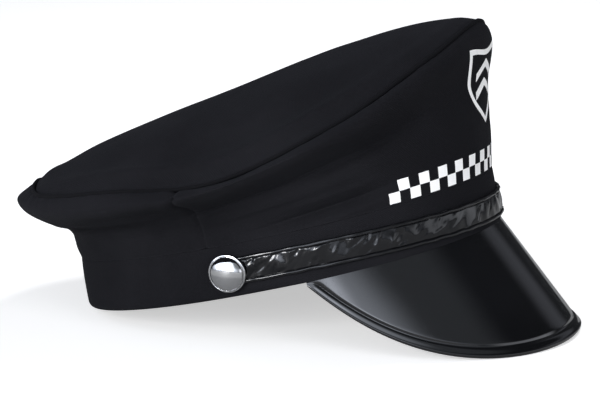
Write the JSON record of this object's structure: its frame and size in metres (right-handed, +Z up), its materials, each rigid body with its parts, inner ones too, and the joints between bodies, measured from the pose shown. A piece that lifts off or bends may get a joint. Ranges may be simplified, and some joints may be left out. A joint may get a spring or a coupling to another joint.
{
  "type": "police cap",
  "caption": "Peaked police cap: stiff cloth band, high-fronted crown with a welted domed top, glossy peak, and a patent strap held by domed side buttons.",
  "frame": {"origin": "middle of the cap's footprint box, on the surface it stands on", "axes": "+X forward, where the peak points; +Y to the wearer's left; +Z up"},
  "size_m": [0.2728, 0.2428, 0.1457],
  "materials": {
    "cloth": "black woven cloth, matt with a faint sheen",
    "welt": "black cloth piping along the crown's top seam",
    "peak": "black patent, mirror gloss, with a raised rim",
    "strap": "black patent, creased, with rolled edges",
    "chrome": "bright plated buttons",
    "print": "plain white printed ornament on the cloth"
  },
  "bodies": {
    "root": {"band": "cloth", "crown_front": "cloth", "crown_back": "cloth", "crown_top": "cloth", "crown_welt": "welt", "peak": "peak", "strap": "strap", "button_right": "chrome", "button_left": "chrome"}
  },
  "joints": []
}
